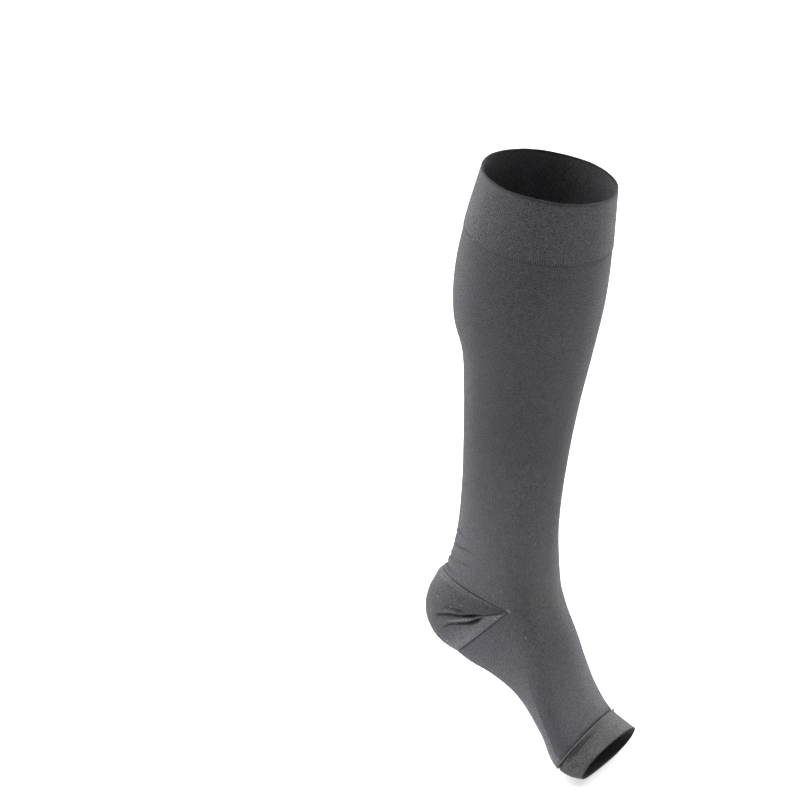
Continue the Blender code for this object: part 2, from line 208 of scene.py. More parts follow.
# On the leg and foot, turn is as in a ring, and at is the distance along them
LEG_CREASES = [
    Crease(1.4, 0.4, [
        (1.48, 330, 0), (1.56, 329, 0.9), (1.63, 327, 1.3), (1.7, 324, 1.1), (1.76, 322, 0.6),
        (1.84, 320, 0),
    ]),
    Crease(1.2, 0.3, [(1.54, 314, 0), (1.62, 313, 1.1), (1.69, 313, 0.8), (1.76, 314, 0)]),
    Crease(1.2, 0.3, [(1.57, 341, 0), (1.64, 340, 0.8), (1.71, 338, 0.8), (1.8, 334, 0)]),
    Crease(1.3, 0.5, [(1.42, 346, 0), (1.5, 345, 1.5), (1.58, 344, 1.4), (1.68, 342, 0)]),
    Crease(1.9, 0.2, [
        (1.34, 355, 0), (1.42, 354, 1.4), (1.5, 353.5, 1.7), (1.58, 354, 1.4), (1.66, 355, 0),
    ]),
    Crease(1.2, 0.4, [(1.46, 321, 0), (1.53, 320, 1.1), (1.59, 320, 0.8), (1.66, 321, 0)]),
    Crease(1.5, 0.4, [
        (1.52, 331, 0), (1.45, 328, 0.9), (1.37, 325, 1.5), (1.29, 320, 1.3), (1.2, 317, 0.6),
        (1.14, 317, 0),
    ]),
    Crease(1.2, 0.3, [(1.42, 311, 0), (1.36, 310, 0.9), (1.29, 310, 0.6), (1.24, 311, 0)]),
    Crease(1.2, 0.3, [(1.4, 341, 0), (1.33, 339, 0.8), (1.27, 335, 0.7), (1.2, 333, 0)]),
    Crease(0.8, 0, [(0.12, 262, 0), (0.2, 263, 0.2), (0.3, 263, 0.2), (0.42, 262, 0)]),
    Crease(0.8, 0, [(0.1, 274, 0), (0.18, 275, 0.24), (0.31, 275, 0.18), (0.4, 274, 0)]),
    Crease(0.8, 0, [(0.14, 289, 0), (0.22, 289, 0.22), (0.3, 290, 0.22), (0.44, 290, 0)]),
    Crease(0.8, 0, [(0.6, 281, 0), (0.7, 280, 0.2), (0.82, 280, 0.2), (0.9, 281, 0)]),
]
FOOT_CREASES = [
    Crease(1.6, 0.2, [
        (0, 131.5, 0), (0.07, 131.5, 0.9), (0.13, 131.4, 1.7), (0.21, 131.2, 1.9),
        (0.28, 131.1, 1.7), (0.34, 131, 0.9), (0.42, 130.5, 0),
    ]),
    Crease(1.5, 0.2, [(1.2, 132, 0), (1.35, 131.5, 1.1), (1.5, 131.5, 1.3), (1.64, 132, 0)]),
    Crease(0.8, 0, [
        (0, 125.6, 0), (0.12, 125.6, 0.5), (0.3, 125.6, 1.1), (0.5, 125.6, 1.3), (0.65, 125.6, 0.8),
        (0.8, 125.6, 0.9), (1, 125.6, 0.6), (1.2, 125.6, 0),
    ]),
    Crease(0.8, 0, [
        (1.4, 128.4, 0), (1.55, 128.4, 0.4), (1.68, 128.4, 0.6), (1.8, 128.4, 1.2), (2, 128.4, 1.2),
        (2.12, 128.4, 0.8), (2.25, 128.4, 0.3), (2.32, 128.4, 0),
    ]),
]

ANKLE_FROM, TOE_FROM = 240, 115  # where the creases of the leg and foot start
CREASE_STEPS = 6  # fine steps between the points of a crease
CREASE_REACH, LIP_AWAY = 4, 1.9  # in widths of the crease
SEAM_ROWS, NEAR_ROWS = 14, 8  # rows beside the heel pocket's seams that they shape and darken

# Rows of stitches and threads, in mm
LINK_COUNT = 208
LINK_RADIUS = 0.42
LINK_AT = (46.4, BAND_DEPTH, 49.6)  # down the leg
LINK_LIFTS = (BAND_PROUD - 0.1, 0.25, 0.0)  # off the cloth there
HEEL_LINKS = 170
HEEL_LINK_AT = (0, 0.14, 0.2, 0.4, 0.5)  # turns from the back to the tips
UPPER_LINK = (0.14, 0.14, 0.38, 0.3, 0.19)  # radii there, at the upper seam
LOWER_LINK = (0.38, 0.38, 0.38, 0.36, 0.32)
HEEL_LINK_SLANT, HEEL_LINK_SUNK, HEEL_LINK_CROWN = 0.2, 0.18, 0.05
HEEL_LINK_HALF = 0.55  # in steps from one loop to the next
OVERLOCK_COUNT = 230
OVERLOCK_SPREAD, OVERLOCK_STEPS = 80, 7  # how far each thread bends round the edge
OVERLOCK_HALF_WIDTH, OVERLOCK_HEIGHT, OVERLOCK_RADIUS = 0.45, 0.5, 0.14
LUMP_TURN, LUMP_SIZE, LUMP_WIDTH = 0.85, 0.7, 0.04  # where the seam starts and ends
THREAD_TIP = 0.3  # share of the radius at a thread's ends
ROLL_SIDES, ROLL_SUNK = 8, 0.2
TIE_COUNT, TIE_SPREAD, TIE_RADII = 10, 1.9, (0.07, 0.14)
TIE_LENGTH, TIE_BEND, TIE_RISE = 0.45, 0.2, 0.3
LINT_COUNT, LINT_LIFT = 80, 0.12
LINT_LENGTHS, LINT_BEND, LINT_RADII = (0.7, 2.2), 0.5, (0.06, 0.13)
LINT_SEED = 11

# Looks. Every other loop is lighter by a share: stagger on the wide part of the leg, stagger_low
# where it is narrow. There the rib makes every other wale lighter. Melange is the yarn's mottling.
Knit = namedtuple("Knit", "colour stagger stagger_low rib relief melange")
KNITS = {
    "band_knit": Knit((0.0575, 0.0564, 0.0622), 1.05, 1.05, 0.0, 1.0, 3.5),
    "leg_knit": Knit((0.0495, 0.048, 0.0535), 1.15, 0.65, 0.22, 1.0, 3.0),
    "heel_knit": Knit((0.0575, 0.0566, 0.0613), 0.22, 0.22, 0.0, 0.75, 3.0),
    "toe_knit": Knit((0.0715, 0.072, 0.071), 0.15, 0.15, 0.15, 0.7, 4.8),
}
DOWN_THE_LEG = (380, 560)  # courses over which the leg's pattern changes
MELANGE_FADE = 0.25  # the melange is weaker by this share on the foot
LOOP_SLANT, LOOP_LOW = 1.3, 0.4  # in courses, and as a share of the loop's height
PATTERN_SHADE_SWING = 0.7  # how much more the pattern shows on the shin and the calf than on the sides: painted relief shade, for light grazing the loops there
PATTERN_PHASE = -0.3 * math.pi
INLAY = 4.3  # courses between the faint lines of the inlaid yarn
PATCHES, STREAKS, INLAY_SHADE = 0.20, 0.12, 0.04  # shares of the colour
# Painted shade in the gaps between the yarn: darker where the yarn is low
YARN_SHADE, YARN_DARKEST, DARKEST = 0.5, 0.75, 0.05
GREEN_SWING, BLUE_SWING = 0.06, -0.18  # slow changes of hue
PATCH_SCALE, SPECK_SCALE, HUE_SCALE, TWIST_SCALE = 160, 950, 24, 1400  # per metre
STREAK_SCALE = (0.6, 0.02, 1.0)  # per stitch
KNIT_RELIEF = 0.0006  # metres
KNIT_ROUGHNESS, KNIT_SPECULAR, SHEEN_TINT = 0.9, 0.25, (0.9, 0.9, 0.95, 1.0)
SHEEN, SHEEN_ROUGHNESS = 0.16, 0.3
# Tone is painted on the points: the cloth is paler from the ankle down, where it is less stretched.
# The rest of it is painted light and shade: paler under the foot and on parts of the heel for light
# from below, darker at the heel's tips, over the instep, in folds and along edges and seams for
# shade, and paler on ridges and beside some seams for highlights
PALER, PALER_FROM, PALER_TO = 0.74, 190, 320
# Painted light: the foot is paler underneath, as if lit from the floor below
SOLE_BOUNCE_LIGHT, SOLE_AT, SOLE_SHARE = 1.5, (15, 45, 70, 100, 125), (0, 0.1, 0.35, 1, 1.3)
SOLE_TURN, SOLE_FADE = 1.5, (0.7, 0.35)
# Painted shade over the instep
INSTEP_SHADE, INSTEP_TURN, INSTEP_WIDTH, INSTEP_START = 0.32, 0.43, 0.18, 40
# The heel pocket: fades in turns from its tips, and falls with how much paler or darker it is.
# Painted light: the lower panel and the underside are paler, for light from below and the lower
# panel's sheen, with a painted highlight on the raised cloth under the upper seam
LOW_PANEL_LIGHT, PANEL_FADE = 1.3, (0.33, 0.03)
UNDER_BOUNCE_LIGHT, UNDER_FADE, UNDER_FALLS = 0.85, (0.1, 0.25), (0.7, 0.9)
SUTURE_FALL, SUTURE_DIP, SUTURE_BEND, SUTURE_WIDTH = 0.53, 0.13, 0.14, 0.02
UPPER_SEAM_HIGHLIGHT = ((0, 0.03, 0.1), (0.9, 0.6, 0))
UPPER_DARK, DARK_FADE = ((0.05, 0.25, 0.5, 0.6), (0, 0.15, 0.22, 0)), (0.45, 0.3)
FOLD_SHADE, RIDGE_HIGHLIGHT = 0.45, 0.4  # painted shade in a crease's trough and painted highlight on a ridge, for each mm of a crease
# Painted lines of shade, or of highlight where pale: shadow at the rims and in the grooves beside the
# seams, and a lit edge below the band's seam, as (how far down from the edge or seam in mm, how dark,
# or pale below 0, how wide)
RIM_SHADE_LINE = (0, 0.9, 1.4)
BAND_SHADE_LINE, BAND_HIGHLIGHT_LINE, BAND_LINE_TURN = (0.2, 0.75, 0.8), (2.3, -0.3, 0.7), 0.45
TOE_LINE_AWAY, TOE_LINE_SHADE, TOE_LINE_SWING, TOE_LINE_WIDTH = 1.4, 0.2, 0.7, 1.1
TOE_RIM_SHADE_LINE, TOE_LINE_TURN = (0, 0.7, 0.8), 0.65
TIP_SHADE = (0, 0.25, 32)
UPPER_SEAM_SHADE_LINE, LOWER_SEAM_SHADE_LINE = (0, 0.35, 0.3), (0, 0.6, 0.5)
LEG_SEAM_SHADE_LINE, FOOT_SEAM_SHADE_LINE = (0, 0.6, 0.7), (0, 0.75, 0.9)
THREAD_ROUGHNESS, THREAD_SHEEN = 0.75, 0.1
THREAD = (0.15, 0.15, 0.155)
LINK_THREAD = (0.075, 0.074, 0.08)
# Near black: the heel seams' thread, darkened as painted shade of their grooves
GROOVE_SHADE_THREAD = (0.014, 0.014, 0.016)
LINT = (0.5, 0.49, 0.48)


# ---- The form ----


def smooth(at, knots, values):
    """Rows of values at distances, on curves through the rows at the knots."""
    slopes = np.gradient(values, knots, axis=0)
    at = np.asarray(at, float)
    low = np.clip(np.searchsorted(knots, at, side="right") - 1, 0, len(knots) - 2)
    span = (knots[low + 1] - knots[low])[:, None]
    t = (at - knots[low])[:, None] / span
    start, end = values[low], values[low + 1]
    leave, arrive = slopes[low] * span, slopes[low + 1] * span
    return (
        (2 * t**3 - 3 * t**2 + 1) * start
        + (t**3 - 2 * t**2 + t) * leave
        + (3 * t**2 - 2 * t**3) * end
        + (t**3 - t**2) * arrive
    )


def sections(table, distances):
    """The sections of the leg or foot at distances along it."""
    rows = np.array(table, float)
    return [Section(*row) for row in smooth(distances, rows[:, 0], rows)]


def lengths(vectors):
    return np.linalg.norm(vectors, axis=-1)


def along_line(line, fractions):
    """Points at fractions of a line's length, and that length."""
    length = np.concatenate(([0], np.cumsum(lengths(np.diff(line, axis=0)))))
    at = np.asarray(fractions) * length[-1]
    return np.column_stack([np.interp(at, length, line[:, k]) for k in range(3)]), length[-1]


def half_ring(middle, half_width, reach, tilt, roundness, facing, fractions):
    """Points from the inner side of the leg to the outer, over its front (-1) or back (1)."""
    sweep = np.linspace(0, math.pi, ARC_SAMPLES)
    power = 2 / roundness
    across = -np.sign(np.cos(sweep)) * np.abs(np.cos(sweep)) ** power * half_width
    out = np.abs(np.sin(sweep)) ** power * reach * facing
    lean = math.radians(tilt)
    arc = np.column_stack((across, out * math.cos(lean), out * math.sin(lean))) + middle
    return along_line(arc, fractions)[0]


def ring(section, turns):
    """Points of a ring: turn 0 is the inner side, 0.5 the front, 1 the outer side, 1.5 the back."""
    s, turns = section, np.asarray(turns, float) % 2
    middle = (s.x, s.y, s.z)
    ahead, behind = np.clip(turns, 0, 1), np.clip(2 - turns, 0, 1)
    front = half_ring(middle, s.half_width, s.front, s.front_tilt, s.front_round, -1, ahead)
    back = half_ring(middle, s.half_width, s.back, s.back_tilt, s.back_round, 1, behind)
    points = np.where(turns[:, None] <= 1, front, back)
    pitch = math.radians(90 + (s.front_tilt + s.back_tilt) / 2)
    along = np.array((0, -math.cos(pitch), -math.sin(pitch)))
    lead = (points[:, :1] - s.x) * math.tan(math.radians(s.skew))
    return points + lead * along


def heel_row(fall, turns):
    """Points of the heel pocket's row at a fall, from its inner tip to its outer one."""
    upper, lower = Section(*LEG[-1]), Section(*FOOT[0])
    rows = np.array(HEEL, float)
    reach, roundness = smooth([fall], rows[:, 0], rows[:, 1:])[0]
    tilt = upper.back_tilt + (lower.back_tilt - upper.back_tilt) * fall
    middle = (upper.x, upper.y, upper.z)
    return half_ring(middle, upper.half_width, reach, tilt, roundness, 1, turns)


def stops(stretches):
    """Distances of the rows in stretches, the first of which starts at 0."""
    starts = [0, *(end for end, rows in stretches)]
    parts = [np.linspace(a, end, rows + 1)[:-1] for a, (end, rows) in zip(starts, stretches)]
    return np.append(np.concatenate(parts), starts[-1])


def row_at(stretches, at):
    """The number of the row at a distance."""
    return int(np.abs(stops(stretches) - at).argmin())


def leg_place(turn, at):
    return ring(sections(LEG, [at])[0], [turn])[0]


def foot_place(turn, at):
    return ring(sections(FOOT, [at])[0], [turn])[0]


def heel_place(turn, fall):
    return heel_row(fall, [turn])[0]


def hump(away, width):
    """1 in the middle, and fading to 0 away from it."""
    return np.exp(-((away / width) ** 2))


def line_tone(away, line, share=1.0):
    """A factor that darkens the cloth along a painted line, and is 1 away from it."""
    middle, dark, width = line
    return 1 - dark * share * hump(away - middle, width)


def ramp(values, start, end):
    """0 at the start and before it, 1 at the end and past it."""
    return np.clip((values - start) / (end - start), 0, 1)


def eased(share):
    return share * share * (3 - 2 * share)


def unit(vectors):
    length = lengths(vectors)[..., None]
    return vectors / np.where(length > 0, length, 1)


def crease_relief(points, crease, place):
    """How far one crease moves each point out along the cloth's normal."""
    path = np.array(crease.path, float)
    fine = np.linspace(0, len(path) - 1, (len(path) - 1) * CREASE_STEPS + 1)
    turns, ats, depths = (np.interp(fine, np.arange(len(path)), path[:, k]) for k in range(3))
    line = np.array([place(turn, at) for turn, at in zip(turns, ats)])
    reach = CREASE_REACH * crease.width + np.ptp(line, axis=0).max()
    near = np.flatnonzero(lengths(points - line.mean(axis=0)) < reach)
    start, along = line[:-1], np.diff(line, axis=0)
    offset = points[near][:, None] - start[None]
    share = np.clip((offset * along).sum(axis=2) / (along**2).sum(axis=1), 0, 1)
    away = offset - share[..., None] * along
    distance = lengths(away)
    best = distance.argmin(axis=1)
    rows = np.arange(len(near))
    closest, part = distance[rows, best], share[rows, best]
    depth = depths[best] + (depths[best + 1] - depths[best]) * part
    above = np.sign(away[rows, best, 2]) * closest
    strength = np.abs(depth) / np.abs(depths).max()
    width = crease.width * (0.5 + 0.5 * strength)
    trough = depth * hump(closest, width)
    lip = crease.lip * strength * hump(above / width - LIP_AWAY, 1)
    relief = np.zeros(len(points))
    relief[near] = lip - trough
    return relief


def relief_of(points, creases, place):
    return sum(crease_relief(points, crease, place) for crease in creases)


def quads(grid, backwards=False):
    """What a grid holds at the four corners of each of its faces, a row for each face."""
    faces = np.stack((grid[:-1, :-1], grid[1:, :-1], grid[1:, 1:], grid[:-1, 1:]), axis=2)
    faces = faces.reshape(-1, *faces.shape[2:])
    return faces[:, ::-1] if backwards else faces


def corners(grid, closed=False, backwards=False):
    """Point numbers at the corners of the faces of a grid, which may close into a tube."""
    return quads(np.hstack((grid, grid[:, :1])) if closed else grid, backwards)


def stitch_corners(wales, courses, backwards=False):
    """(wale, course) at the corners of the same faces, from a value for each edge between them."""
    return quads(np.stack(np.broadcast_arrays(wales, courses), axis=-1), backwards)


def point_normals(points, faces):
    """Unit normals at the points, from the faces round each of them."""
    a, b, c, d = (points[faces[:, k]] for k in range(4))
    normals = np.cross(c - a, d - b)
    total = np.zeros_like(points)
    for k in range(4):
        np.add.at(total, faces[:, k], normals)
    return unit(total)


class Form:
    """The stocking's outer face: one set of points, and a grid of their numbers for each part."""

    def __init__(self):
        leg = np.array([ring(s, TURNS) for s in sections(LEG, stops(LEG_ROWS))])
        foot = np.array([ring(s, TURNS) for s in sections(FOOT, stops(FOOT_ROWS))])
        heel = np.array([heel_row(fall, HEEL_TURNS) for fall in stops(HEEL_ROWS)])
        blocks = (leg, foot, heel)
        self.points = np.concatenate([block.reshape(-1, 3) for block in blocks])
        cuts = np.cumsum([block[..., 0].size for block in blocks])[:-1]
        numbers = np.split(np.arange(len(self.points)), cuts)
        self.leg, self.foot, self.heel = (n.reshape(b.shape[:2]) for n, b in zip(numbers, blocks))
        self.join_at_heel()
        self.faces = np.concatenate(
            (corners(self.leg, True), corners(self.foot, True), corners(self.heel, backwards=True))
        )
        self.add_relief()
        self.normals = point_normals(self.points, self.faces)
        self.tone = self.tones()

    def join_at_heel(self):
        """Leg and foot share the front of a ring, and the heel pocket shares both their backs."""
        over_back = np.append(0, np.arange(2 * HALF - 1, HALF - 1, -1))
        self.foot[0, : HALF + 1] = self.leg[-1, : HALF + 1]
        self.heel[0] = self.leg[-1, over_back]
        self.heel[-1] = self.foot[0, over_back]
        self.heel[:, 0], self.heel[:, -1] = self.leg[-1, 0], self.leg[-1, HALF]

    def add_relief(self):
        normals = point_normals(self.points, self.faces)
        relief = np.array([SWELL * noise.noise(Vector(p / SWELL_SIZE)) for p in self.points])
        self.folds = np.zeros(len(self.points))
        inside = self.heel[1:-1, 1:-1].ravel()
        self.folds[inside] = relief_of(self.points[inside], HEEL_CREASES + SUTURES, heel_place)
        ankle = self.leg[row_at(LEG_ROWS, ANKLE_FROM) : -1].ravel()
        self.folds[ankle] = relief_of(self.points[ankle], LEG_CREASES, leg_place)
        beside = np.union1d(self.leg[-SEAM_ROWS:, HALF + 1 :], self.foot[:NEAR_ROWS, HALF + 1 :])
        pocket = np.union1d(self.heel[:, 1:-1], beside)
        for crease in [HEEL_BULGE, *HEEL_SEAMS]:
            relief[pocket] += crease_relief(self.points[pocket], crease, heel_place)
        toe = self.foot[row_at(FOOT_ROWS, TOE_FROM) :].ravel()
        self.folds[toe] = relief_of(self.points[toe], FOOT_CREASES, foot_place)
        self.points = self.points + normals * (relief + self.folds)[:, None]
        self.raise_beside_heel(normals)
        self.wave_rim()

    def raise_beside_heel(self, normals):
        """Lifts the cloth below each seam of the heel pocket: the pocket's own, then the foot's."""
        back = np.arange(1, HALF)
        fade = np.sin(math.pi * back / HALF) ** 0.5
        for grid, columns in ((self.heel, back), (self.foot, 2 * HALF - back)):
            edge = self.points[grid[0, columns]]
            for row in range(1, SEAM_ROWS):
                numbers = grid[row, columns]
                away = lengths(self.points[numbers] - edge)
                lift = SEAM_LIFT * fade * hump(away, SEAM_REACH)
                self.points[numbers] += normals[numbers] * lift[:, None]

    def wave_rim(self):
        """The top edge isn't quite level: it dips and rises by parts of a millimetre."""
        wave = sum(high * np.sin(n * math.pi * TURNS + phase) for high, n, phase in RIM_WAVES)
        for row, at in enumerate(stops(LEG_ROWS)[: row_at(LEG_ROWS, RIM_WAVE_END)]):
            self.points[self.leg[row], 2] += wave * hump(at, RIM_WAVE_DEPTH)

    def tones(self):
        """How light the cloth is at each point, with 1 for its plain colour, painted light and shade
        included.
        """
        tone = np.ones(len(self.points))
        down = eased(ramp(stops(LEG_ROWS), PALER_FROM, PALER_TO))
        tone[self.leg] *= 1 + PALER * down[:, None]
        tone[self.foot[: row_at(FOOT_ROWS, TOE_SEAM) + 1]] = 1 + PALER
        tone[self.foot] *= self.sole_tone()
        tone[self.heel[1:-1]] = self.heel_tone()[1:-1]
        for tip in self.leg[-1, [0, HALF]]:
            away = lengths(self.points - self.points[tip])
            tone *= line_tone(away, TIP_SHADE)
        tone[self.leg] *= self.leg_lines()
        tone[self.foot] *= self.toe_lines()
        # Painted shade along the heel pocket's seams and beside them on the leg and foot
        for grid, seam, line in (
            (self.heel, 0, UPPER_SEAM_SHADE_LINE),
            (self.heel, -1, LOWER_SEAM_SHADE_LINE),
            (self.leg[-NEAR_ROWS:, HALF:], -1, LEG_SEAM_SHADE_LINE),
            (self.foot[:NEAR_ROWS, HALF:], 0, FOOT_SEAM_SHADE_LINE),
        ):
            away = lengths(self.points[grid] - self.points[grid[seam]])
            tone[grid] *= line_tone(away, line)
        # Painted shade in the creases and painted highlights on the ridges
        fold_shade = np.exp(FOLD_SHADE * np.minimum(self.folds, 0))
        return tone * fold_shade * (1 + RIDGE_HIGHLIGHT * np.maximum(self.folds, 0))

    def leg_lines(self):
        """Painted shade: a dark line at the rim, and at the band's seam a dark line of shade and a
        pale one of highlight, but for the back.
        """
        at = stops(LEG_ROWS)[:, None]
        shown = np.clip(0.5 + 0.6 * np.cos(math.pi * (TURNS - BAND_LINE_TURN)), 0, 1)
        under = at - BAND_DEPTH
        seam = line_tone(under, BAND_SHADE_LINE, shown) * line_tone(under, BAND_HIGHLIGHT_LINE, shown)
        return line_tone(at, RIM_SHADE_LINE) * seam

    def toe_lines(self):
        """Painted shadow: a dark line on each side of the toe seam, which is on the foot's side at
        the instep, and one at the toe's rim.
        """
        at = stops(FOOT_ROWS)[:, None]
        instep = 0.5 + 0.5 * np.cos(math.pi * (TURNS - TOE_LINE_TURN))
        lines = line_tone(at - TOE_EDGE, TOE_RIM_SHADE_LINE)
        for away, share in ((-TOE_LINE_AWAY, instep), (TOE_LINE_AWAY, 1 - instep)):
            dark = TOE_LINE_SHADE + TOE_LINE_SWING * share
            lines = lines * line_tone(at - TOE_SEAM, (away, dark, TOE_LINE_WIDTH))
        return lines

    def sole_tone(self):
        """Painted light and shade: the foot is paler underneath, as far as the toe seam, for light
        from the floor, and darker over the instep.
        """
        at = stops(FOOT_ROWS)[:, None]
        under = eased(ramp(np.abs(TURNS - SOLE_TURN), *SOLE_FADE))
        along = np.where(at <= TOE_SEAM, np.interp(at, SOLE_AT, SOLE_SHARE), 0)
        dark = INSTEP_SHADE * ramp(at, 0, INSTEP_START)
        instep = line_tone(TURNS, (INSTEP_TURN, dark, INSTEP_WIDTH))
        return (1 + SOLE_BOUNCE_LIGHT * along * under) * instep

    def heel_tone(self):
        """The pocket is palest at its upper seam, below the suture near the tips, and underneath:
        painted highlight and light from below.
        """
        falls = stops(HEEL_ROWS)[:, None]
        from_tip = np.minimum(HEEL_TURNS, 1 - HEEL_TURNS)
        suture = SUTURE_FALL + SUTURE_DIP * ramp(from_tip, SUTURE_BEND, 0)
        low = ramp(falls, suture, suture + SUTURE_WIDTH)
        panel = LOW_PANEL_LIGHT * low * ramp(from_tip, *PANEL_FADE)
        under = UNDER_BOUNCE_LIGHT * ramp(falls, *UNDER_FALLS) * ramp(from_tip, *UNDER_FADE)
        shade = np.interp(falls, *UPPER_DARK) * (1 - low) * ramp(from_tip, *DARK_FADE)
        return 1 + panel + under + np.interp(falls, *UPPER_SEAM_HIGHLIGHT) - shade


# ---- Meshes ----


def put(name, data):
    thing = bpy.data.objects.new(name, data)
    bpy.context.scene.collection.objects.link(thing)
    return thing


def add_object(name, points, faces, material, stitches=None, tone=None):
    """A smooth mesh, with its stitches' numbers as UVs and its tone as an attribute, where given."""
    mesh = bpy.data.meshes.new(name)
    mesh.from_pydata((np.asarray(points) * MM).tolist(), [], faces)
    if stitches is not None:
        layer = mesh.uv_layers.new(name="Stitches")
        layer.data.foreach_set("uv", np.concatenate(stitches).astype(np.float32).ravel())
    if tone is not None:
        values = mesh.attributes.new("tone", "FLOAT", "POINT").data
        values.foreach_set("value", tone.astype(np.float32))
    mesh.materials.append(material)
    mesh.shade_smooth()
    thing = put(name, mesh)
    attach(thing, "root")
    return thing


def without_repeats(face, stitch):
    """A face and its stitches, but for each corner that is the same point as the one before."""
    kept = [k for k in range(len(face)) if face[k] != face[k - 1]]
    return [int(face[k]) for k in kept], np.array([stitch[k] for k in kept])


def free_sides(faces):
    """(face, corner) of each side that no other face shares, from that corner to the next."""
    starts, ends = faces, np.roll(faces, -1, axis=1)
    size = int(faces.max()) + 1
    codes, opposite = starts * size + ends, ends * size + starts
    alone = ~np.isin(codes, opposite) & (starts != ends)
    return np.argwhere(alone)


def edge_distances(points, edge, reach):
    """How far each point is from the nearest edge point, and no more than reach."""
    tree = KDTree(len(edge))
    for k, point in enumerate(points[edge]):
        tree.insert(point, k)
    tree.balance()
    return np.array([min(reach, tree.find(point)[2]) for point in points])


def cloth(name, form, faces, stitches, wall, slot, lift=0.0):
    """A thin shell of cloth with rounded edges, whose outer face lies on the form."""
    used, numbers = np.unique(faces, return_inverse=True)
    faces = numbers.reshape(faces.shape)
    points, normals = form.points[used], form.normals[used]
    sides = free_sides(faces)
    edge = np.unique([faces[f, k] for f, k in sides])
    radius = wall / 2
    inwards = radius - edge_distances(points, edge, radius)
    drop = (radius - np.sqrt(radius**2 - inwards**2)) * (1 - EDGE_LEFT)
    outer = points + normals * (lift - drop)[:, None]
    inner = points + normals * (lift - wall + drop)[:, None]
    count = len(points)
    everything = [without_repeats(f, s) for f, s in zip(faces, stitches)]
    everything += [without_repeats(f[::-1] + count, s[::-1]) for f, s in zip(faces, stitches)]
    for f, k in sides:
        (a, at_a), (b, at_b) = ((faces[f, n], stitches[f, n]) for n in (k, (k + 1) % 4))
        face = [int(n) for n in (b, a, a + count, b + count)]
        everything.append((face, np.array([at_b, at_a, at_a, at_b])))
    return add_object(
        name,
        np.concatenate((outer, inner)),
        [face for face, stitch in everything],
        knit_material(slot),
        [stitch for face, stitch in everything],
        np.tile(form.tone[used], 2),
    )


class Threads:
    """Many short lengths of round thread in one mesh."""

    def __init__(self):
        self.points, self.faces = [], []

    def add(self, path, radius, sides=5):
        """A tube along a path, narrower at both ends."""
        path = np.asarray(path, float)
        along = unit(np.gradient(path, axis=0))
        helper = np.where(np.abs(along[:, 2:]) < 0.9, (0.0, 0.0, 1.0), (1.0, 0.0, 0.0))
        side = unit(np.cross(along, helper))
        other = np.cross(along, side)
        first = len(self.points)
        for k, middle in enumerate(path):
            size = radius * (THREAD_TIP if k in (0, len(path) - 1) else 1.0)
            for angle in np.arange(sides) * 2 * math.pi / sides:
                out = math.cos(angle) * side[k] + math.sin(angle) * other[k]
                self.points.append(middle + size * out)
        for k in range(len(path) - 1):
            for n in range(sides):
                a, b = first + k * sides + n, first + k * sides + (n + 1) % sides
                self.faces.append([a, b, b + sides, a + sides])
        last = first + (len(path) - 1) * sides
        self.faces.append([first + n for n in reversed(range(sides))])
        self.faces.append([last + n for n in range(sides)])

    def build(self, name, material):
        return add_object(name, self.points, self.faces, material)


# ---- Materials ----


class Nodes:
    """Short calls for building a material's nodes."""

    def __init__(self, name):
        self.material = bpy.data.materials.new(name)
        self.material.use_nodes = True
        self.tree = self.material.node_tree
        self.shader = self.tree.nodes["Principled BSDF"]

    def add(self, kind, settings=None, **inputs):
        node = self.tree.nodes.new(kind)
        for key, value in (settings or {}).items():
            setattr(node, key, value)
        for key, value in inputs.items():
            self.feed(node.inputs[key], value)
        return node

    def feed(self, socket, value):
        if isinstance(value, bpy.types.NodeSocket):
            self.tree.links.new(value, socket)
        else:
            socket.default_value = value

    def look(self, values):
        """Sets the shader's sockets."""
        for name, value in values.items():
            self.feed(self.shader.inputs[name], value)

    def fill(self, node, *values):
        """Feeds a node's sockets in their order, and returns its first output."""
        for socket, value in zip(node.inputs, values):
            self.feed(socket, value)
        return node.outputs[0]

    def math(self, operation, *values):
        return self.fill(self.add("ShaderNodeMath", {"operation": operation}), *values)

    def noise(self, place, scale, detail=2.0):
        """Smooth noise round 0, about -0.5 to 0.5."""
        node = self.add("ShaderNodeTexNoise", Vector=place, Scale=scale, Detail=detail)
        return self.math("SUBTRACT", node.outputs["Fac"], 0.5)

    def scaled(self, *vectors):
        return self.fill(self.add("ShaderNodeVectorMath", {"operation": "MULTIPLY"}), *vectors)


def stitch_pattern(nodes, wale, course):
    """How high the yarn of the knitted loops is, 0 to 1, and how far each stands out, -1 to 1."""
    calc = nodes.math
    side = calc("ABSOLUTE", calc("SUBTRACT", calc("FRACT", wale), 0.5))
    slant = calc("MULTIPLY_ADD", side, LOOP_SLANT, course)
    along = calc("SUBTRACT", calc("MULTIPLY", calc("FRACT", slant), 2.0), 1.0)
    loop = calc("SUBTRACT", 1.0, calc("MULTIPLY", along, along))
    leg = calc("SUBTRACT", calc("MULTIPLY", side, 4.0), 1.0)
    leg = calc("SQRT", calc("SUBTRACT", 1.0, calc("MULTIPLY", leg, leg)))
    yarn = calc("MULTIPLY", leg, calc("MULTIPLY_ADD", loop, 1 - LOOP_LOW, LOOP_LOW))
    column = calc("SINE", calc("MULTIPLY", wale, math.pi))
    row = calc("SINE", calc("MULTIPLY", course, math.pi / 2))
    return yarn, calc("MULTIPLY", column, row)


